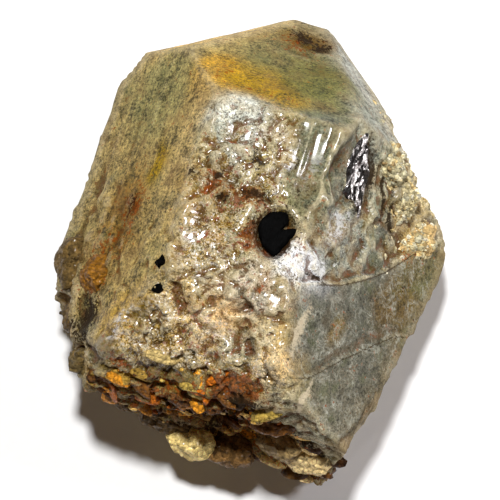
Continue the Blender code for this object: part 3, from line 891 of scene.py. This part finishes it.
def grains(centres, radii, cells, seed, planes=9, upright=None, forward=None):
    """Many rough grains at once, each on its own grid.

    A grain is a ball cut back by its own random planes, where the reach of a ray is the least
    plane's distance over its cosine, drawn out to three radii. It is then turned with its third
    radius upright and its first about forward, or at random when these aren't given.
    """
    rng = np.random.default_rng(seed)
    ball, quads = box_grid(cells, cells, cells)
    ball = unit(ball)
    count = len(centres)
    normals = unit(rng.normal(size=(count, planes, 3)))
    depth = rng.uniform(0.62, 0.95, (count, 1, planes))
    facing = np.maximum(np.einsum("vc,kpc->kvp", ball, normals), 0.05)
    reach = np.minimum((depth / facing).min(2), 1.12)
    points = ball[None] * reach[..., None] * np.asarray(radii)[:, None, :]
    if upright is None:
        upright = unit(rng.normal(size=(count, 3)))
        forward = rng.normal(size=(count, 3))
    second = unit(np.cross(upright, forward))
    first = np.cross(second, upright)
    points = np.einsum("kvr,krc->kvc", points, np.stack([first, second, upright], 1))
    points += np.asarray(centres)[:, None]
    faces = quads[None] + (np.arange(count) * len(ball))[:, None, None]
    return points.reshape(-1, 3), faces.reshape(-1, 4), len(ball)


def crust_material(name, sparkle, rough, level):
    """Granular crust: a tint for each grain, mottled by noise, with rust between and sparkle."""
    shader = Shader(name)
    place, _ = shader.millimetres()
    tint = shader.painted("tint")
    mottle = shader.noise(place, 1.2, 6.0, 0.7)
    speckle = shader.noise(place, 4.5, 4.0, 0.7)
    grain = shader.cells(place, 2.6)
    grain_colour = shader.cells(place, 2.6, "Color")
    tone = shader.part(grain_colour, (1.0, 0.0, 0.0))
    shade = (mottle - 0.5) * 2.2 + (speckle - 0.5) * 1.4 + (tone - 0.5) * 0.8 + 1.0
    shader.colour = shader.scaled(tint, shade.math("MAXIMUM", 0.1))
    shader.stain(mottle.step(0.54, 0.7) * 0.5, (0.3, 0.14, 0.02))
    shader.stain(speckle.step(0.58, 0.68) * 0.75, (0.02, 0.01, 0.004))
    shader.stain(tone.step(0.8, 0.95) * 0.6, shader.scaled(tint, 1.5))
    shader.stain(grain.step(0.5, 0.85) * 0.4, (0.04, 0.02, 0.007))
    height = speckle * 0.6 + mottle * 0.5 - grain * 0.7
    leaned = shader.grain_normal(grain_colour, sparkle)
    return shader.finish(
        Base_Color=shader.colour,
        Roughness=((speckle - 0.5) * 0.6 + rough).clamped(),
        Normal=shader.bump(height, 0.4, Normal=leaned),
        Coat_Weight=tone.step(0.6, 0.8) * 0.35,
        Coat_Roughness=0.2,
        Specular_IOR_Level=level,
        IOR=1.55,
    )


rows = [lump for part in LUMPS.values() for lump in part]
centres, radii, knobbly, tints = (np.array(column) for column in zip(*rows))
upright = np.tile((0.0, 0.0, 1.0), (len(rows), 1))
forward = np.tile((1.0, 0.0, 0.0), (len(rows), 1))
lump_points, lump_quads, per_lump = grains(centres, radii, 24, 71, 11, upright, forward)
outwards = unit(lump_points - np.repeat(centres, per_lump, axis=0))
uneven = ragged(lump_points, 0.3, 1.0, 301)
knobs = 0.25 * noise(lump_points, 1.8, 303) + facets(uneven, 1.2, 304, 0.6) + facets(uneven, 0.5, 310, 0.5)
lump_points += outwards * (knobs * np.repeat(knobbly, per_lump))[:, None]
crust_stuff = crust_material("crust", 0.4, 0.5, 0.12)
lumps = add_piece("crust_lumps", lump_points, lump_quads, crust_stuff)
add_colour(lumps, "tint", np.repeat(tints, per_lump, axis=0))

# The loose-looking grains of the crust: sugar-sized crystals of quartz, feldspar and stained
# apatite that cover the right corner and gather along the broken edges. All are grown on.


def scatter(weight, count, seed):
    """Picks points at random, each as often as its weight says, and gives the random numbers."""
    rng = np.random.default_rng(seed)
    return rng.choice(len(weight), count, p=weight / weight.sum()), rng


GRAIN_COUNT = 2600
GRAIN_TINTS = np.array([
    (0.72, 0.64, 0.4), (0.64, 0.56, 0.32), (0.6, 0.54, 0.34), (0.84, 0.78, 0.58),
    (0.5, 0.42, 0.22), (0.68, 0.52, 0.24), (0.36, 0.26, 0.12), (0.66, 0.62, 0.42),
])
right_lumps = slice(len(LUMPS["right corner"]) * per_lump)
hosts = np.concatenate([stone_points, lump_points[right_lumps]])
host_normals = np.concatenate([stone_normals, point_normals(lump_points, lump_quads)[right_lumps]])
peak = blob(stone_points, (16.0, 7.0, 1.0), (4.0, 5.0, 6.0))
rim = blob(stone_points, (14.0, 11.0, 3.5), (3.0, 6.0, 5.0))
wall = blob(stone_points, (14.6, 7.4, 2.6), (1.4, 4.0, 2.0))
crust_weight = stone_share["crust"] ** 2 * (0.5 + 0.6 * peak + 0.6 * rim) + 0.4 * wall
crust_weight = np.concatenate([crust_weight, np.full(right_lumps.stop, 0.35)])
chosen, rng = scatter(crust_weight, GRAIN_COUNT, 81)
sizes = 0.14 + 0.34 * rng.random(GRAIN_COUNT)[:, None] ** 2 + np.zeros((1, 3))
sizes *= rng.uniform(0.6, 1.5, (GRAIN_COUNT, 3))
centres = hosts[chosen] - 0.6 * sizes[:, :1] * host_normals[chosen]
grain_points, grain_quads, per_grain = grains(centres, sizes, 2, 82)
crust_grains = add_piece("crust_grains", grain_points, grain_quads, crust_stuff, smooth=False)
picked = 1.15 * GRAIN_TINTS[rng.integers(0, len(GRAIN_TINTS), GRAIN_COUNT)]
add_colour(crust_grains, "tint", np.repeat(picked, per_grain, axis=0))

# The flaky matrix at the near end: thin leaves of rusty mica schist and clay, laid over one
# another like shingles, split by dark gaps, with cream and olive leaves among the rusty ones.

LEAF_COUNT = 640
# From the top of the near end to its foot
LEAF_TINTS = np.array([
    (0.5, 0.37, 0.14), (0.36, 0.25, 0.05), (0.56, 0.33, 0.06), (0.38, 0.23, 0.04), (0.46, 0.12, 0.004),
    (0.12, 0.045, 0.006), (0.6, 0.24, 0.015), (0.08, 0.03, 0.005), (0.8, 0.5, 0.14), (0.24, 0.12, 0.02),
    (1.0, 0.72, 0.3), (0.1, 0.045, 0.008), (0.56, 0.28, 0.04),
])
foot_weight = stone_share["foot"] ** 2 * (stone_points[:, 2] > -11.0)
# No leaves in the deep hollow under the near end, where the stone carries painted shadow
foot_weight *= 1 - 0.9 * blob(stone_points, (4.2, -19.5, 2.0), (3.6, 4.0, 2.4))
foot_weight *= 1 - grey_nose(stone_points)
chosen, rng = scatter(foot_weight, LEAF_COUNT, 91)
length = 0.35 + 1.7 * rng.random(LEAF_COUNT) ** 2.5
width = length * rng.uniform(0.35, 0.6, LEAF_COUNT)
sizes = np.stack([length, width, rng.uniform(0.12, 0.34, LEAF_COUNT)], 1)
lean = np.array([0.0, -0.35, 1.0]) + 0.3 * stone_normals[chosen] + rng.normal(0, 0.26, (LEAF_COUNT, 3))
forward = np.array([1.0, -0.12, -0.1]) + rng.normal(0, 0.4, (LEAF_COUNT, 3))
centres = stone_points[chosen] + stone_normals[chosen] * rng.uniform(-0.6, 0.0, (LEAF_COUNT, 1))
leaf_points, leaf_quads, per_leaf = grains(centres, sizes, 3, 92, 9, unit(lean), forward)
leaf_points[:, 2] += 0.16 * noise(leaf_points, 0.8, 320) + 0.1 * noise(leaf_points, 0.4, 321)
leaves = add_piece("matrix_leaves", leaf_points, leaf_quads, crust_material("matrix", 0.25, 0.4, 0.15))
# The lower a leaf lies, the later its tint, with the rusty ones also at the near end's top
order = 0.6 * (9.0 - centres[:, 2]) / 18.0 + 0.45 * rng.random(LEAF_COUNT)
order += 0.42 * blob(centres, (3.8, -17.8, 7.4), (2.2, 2.6, 2.6))
picked = 1.3 * LEAF_TINTS[np.clip(order * len(LEAF_TINTS), 0, len(LEAF_TINTS) - 1).astype(int)]
add_colour(leaves, "tint", np.repeat(picked, per_leaf, axis=0))

# The black grain of tourmaline in its pit in the broken top, a glassy flat-topped chip with a
# notch in its right side, and three small black grains left of it, one of them farther back.

# Outline of the grain's top: angle from across the photo's width, in degrees, and radius
GRAIN_OUTLINE = np.array([
    (-149, 1.4), (-111, 1.84), (-86, 2.48), (-57, 1.92), (-22, 1.91), (1, 2.5), (9, 2.5), (15, 1.1),
    (22, 1.08), (29, 1.75), (36, 2.13), (51, 2.57), (65, 2.92), (74, 2.63), (88, 2.55), (102, 2.09),
    (129, 1.93), (167, 1.43),
])
GRAIN_MIDDLE = (2.63, -0.98, 12.45)
GRAIN_DEPTH = 1.2


def outlined_chip(outline, middle, depth, rings, spokes):
    """A chip with an outlined top: rings from the middle of its top, over its rim and down.

    The first parameter is the angle, along which the outline gives the radius. The second runs
    from 0 at the top's middle, through 1 at the rim, to 2 at the bottom's middle.
    """
    angle, way = np.meshgrid(
        np.linspace(0, 2 * math.pi, spokes, endpoint=False), np.linspace(0, 2, rings + 1)[1:-1]
    )
    radius = np.interp(np.degrees(angle), outline[:, 0], outline[:, 1], period=360)
    out = np.where(way < 1, way, 1 - 0.45 * (way - 1) ** 2 - 0.55 * (way - 1) ** 8)
    x, y = radius * out * np.cos(angle), radius * out * np.sin(angle)
    bevel = 0.25 * np.maximum(way - 0.8, 0) / 0.2
    z = np.where(way < 1, -bevel, -0.25 - depth * (way - 1))
    c, s = math.cos(AXIS_TURN), math.sin(AXIS_TURN)
    body = np.stack([c * x - s * y, s * x + c * y, z], -1).reshape(-1, 3)
    points = np.concatenate([body, [[0, 0, 0], [0, 0, -0.25 - depth]]])
    ring = np.arange(rings - 1)[:, None] * spokes
    spoke = np.arange(spokes)
    ahead = (spoke + 1) % spokes
    near, far = ring[:-1], ring[1:]
    quads = np.stack([near + spoke, far + spoke, far + ahead, near + ahead], -1).reshape(-1, 4)
    top, bottom = len(body), len(body) + 1
    cap = np.stack([np.full(spokes, top), spoke, ahead], 1)
    base = np.stack([np.full(spokes, bottom), ring[-1] + ahead, ring[-1] + spoke], 1)
    return points + np.array(middle), [*quads.tolist(), *cap.tolist(), *base.tolist()]


def black_material():
    """Black tourmaline: glassy, with faint parallel ribs and a dusting of brown."""
    shader = Shader("black tourmaline")
    place, _ = shader.millimetres()
    ribs = shader.noise(shader.stretched(place, 0.25, 3.0), 1.0, 4.0, 0.6)
    dust = shader.noise(place, 2.4, 6.0, 0.7)
    return shader.finish(
        Base_Color=shader.mix(dust.step(0.6, 0.74) * 0.4, (0.001, 0.001, 0.001), (0.008, 0.003, 0.002)),
        Roughness=((dust - 0.5) * 0.5 + 0.62).clamped(),
        Normal=shader.bump(ribs, 0.15),
        Specular_IOR_Level=0.02,
        IOR=1.62,
    )


chip_points, chip_faces = outlined_chip(GRAIN_OUTLINE, GRAIN_MIDDLE, GRAIN_DEPTH, 26, 120)
chip_points[:, 2] += facets(chip_points, 1.5, 310, 0.22) + 0.05 * noise(chip_points, 0.7, 311)
small_points, small_quads, _ = grains(
    [(-7.4, -7.0, 12.1), (-7.0, -9.7, 11.5), (-2.6, 6.4, 12.6)],
    [(0.85, 0.7, 0.45), (0.95, 0.65, 0.45), (0.4, 0.3, 0.3)], 10, 83, planes=6,
)
small_points = ragged(small_points, 0.28, 0.45, 340)
black_faces = chip_faces + (small_quads + len(chip_points)).tolist()
black_points = np.concatenate([chip_points, small_points])
add_piece("black_grains", black_points, black_faces, black_material())

# The patch of dark mica right of the smooth hollow: a crinkled book of thin leaves, black, with silvery
# bands that are partly painted sheen and partly metallic, set in a bed along the break.

# Middle line of the patch and its half width, from its near end to its far end: P, A, half width
MICA_LINE = np.array([
    (10.6, 4.4, 0.15), (10.4, 5.4, 0.7), (10.0, 6.8, 1.1), (9.6, 8.2, 1.25), (9.4, 9.8, 1.15),
    (9.1, 11.2, 0.85), (8.8, 12.6, 0.15),
])


def mica_material():
    """Dark mica: black leaves with a painted silvery sheen, partly metallic, in wavy bands along the patch.
    """
    shader = Shader("mica")
    place, _ = shader.millimetres()
    streaks = shader.noise(shader.stretched(place, 0.35, 1.1), 1.0, 5.0, 0.6, 0.5)
    bands = shader.noise(shader.stretched(place, 0.6, 1.6), 1.0, 3.0, 0.5, 0.8)
    # The silvery bands are painted sheen: laid by noise, not by how each leaf faces the light
    sheen = bands.step(0.5, 0.55)
    shader.colour = shader.mix(sheen, (0.008, 0.006, 0.005), (0.7, 0.66, 0.65))
    shader.stain(streaks.step(0.56, 0.66) * 0.8, (0.03, 0.015, 0.01))
    return shader.finish(
        Base_Color=shader.colour,
        Roughness=((streaks - 0.5) * 0.6 + 0.28).clamped(),
        Metallic=sheen * 0.8,
        Normal=shader.bump(streaks, 0.25),
        Coat_Weight=sheen * 0.7,
        Coat_Roughness=0.12,
        Specular_IOR_Level=0.2,
    )


sheet, mica_quads = box_grid(34, 130, 3)
way = sheet[:, 1] * 0.5 + 0.5
line_way = np.linspace(0, 1, len(MICA_LINE))
middle_p, middle_a, half = (np.interp(way, line_way, MICA_LINE[:, k]) for k in range(3))
half = half * (1 + 0.18 * noise(np.stack([np.sign(sheet[:, 0]) * 5, way * 14, way * 0], 1), 1.0, 330))
spots = np.stack([middle_p + half * sheet[:, 0], middle_a, np.full(len(way), 9.6)], 1)
spots[:, 2] -= 0.75 * (spots[:, 0] - 8.4)
beds, _ = stone_surface(unit(spots))
out = np.array([0.42, 0.0, 0.91])
swell = (1 - sheet[:, 0] ** 2) * (1 - (2 * way - 1) ** 4)
crinkle = np.array([1.0, 0.4, 1.0]) * beds
crease = facets(crinkle, 0.62, 331, 0.6, 0.3) + facets(crinkle, 0.3, 337, 0.5)
rise = np.where(sheet[:, 2] > 0, 0.1 + 0.45 * swell + crease * np.sqrt(swell), -0.6)
mica_points = beds + rise[:, None] * out
add_piece("mica_patch", mica_points, mica_quads, mica_material())

# The camera looks down on the crystal's middle from the near side, 74 degrees above level.
CAMERA_HEIGHT_DEGREES = 74.0
CAMERA_DISTANCE = 0.32
camera_data = bpy.data.cameras.new("camera")
camera_data.sensor_width = 36.0
camera_data.lens = 217.3
camera = add_object("camera", camera_data)
lift = math.radians(CAMERA_HEIGHT_DEGREES)
aim = Vector(STAND * MM)
camera.location = aim + CAMERA_DISTANCE * Vector((0.0, -math.cos(lift), math.sin(lift)))
camera.rotation_euler = (math.pi / 2 - lift, 0.0, 0.0)
bpy.context.scene.camera = camera

# The surround: a wide pale floor, a small bright lamp high at the back, two fainter ones at the
# front and at the right, and a faint warm glow from all round.
floor_shader = Shader("pale floor")
floor_place = floor_shader.node("TexCoord", output="Object")
floor_tone = floor_shader.noise(floor_place, 900.0, 3.0)
floor_colour = floor_shader.mix(floor_tone, (0.86, 0.86, 0.86), (0.9, 0.9, 0.9))
floor_mesh = bpy.data.meshes.new("floor")
floor_mesh.from_pydata([(-2, -2, 0), (2, -2, 0), (2, 2, 0), (-2, 2, 0)], [], [(0, 1, 2, 3)])
floor_mesh.materials.append(floor_shader.finish(Base_Color=floor_colour, Roughness=0.8))
floor = add_object("floor", floor_mesh)


def add_lamp(name, azimuth, elevation, distance, size, power, colour=(1.0, 1.0, 1.0)):
    """A disk lamp that looks at the stone from a direction given in degrees."""
    lamp = bpy.data.lights.new(name, "AREA")
    lamp.shape = "DISK"
    lamp.size = size
    lamp.energy = power
    lamp.color = colour
    holder = add_object(name, lamp)
    azimuth, elevation = math.radians(azimuth), math.radians(elevation)
    level = math.cos(elevation)
    towards = Vector((level * math.sin(azimuth), level * math.cos(azimuth), math.sin(elevation)))
    holder.location = aim + distance * towards
    holder.rotation_euler = towards.to_track_quat("Z", "Y").to_euler()


add_lamp("key", -16, 81.5, 0.5, 0.055, 2.9)
add_lamp("front", 216, 43, 0.5, 0.014, 0.085)
add_lamp("right", 78, 46, 0.6, 0.12, 1.5, (0.98, 0.96, 1.0))
world = bpy.data.worlds.new("studio")
world.use_nodes = True
glow = world.node_tree.nodes["Background"].inputs
glow["Color"].default_value = (1.0, 0.52, 0.22, 1.0)
glow["Strength"].default_value = 0.042
bpy.context.scene.world = world
bpy.context.scene.view_settings.view_transform = "Standard"
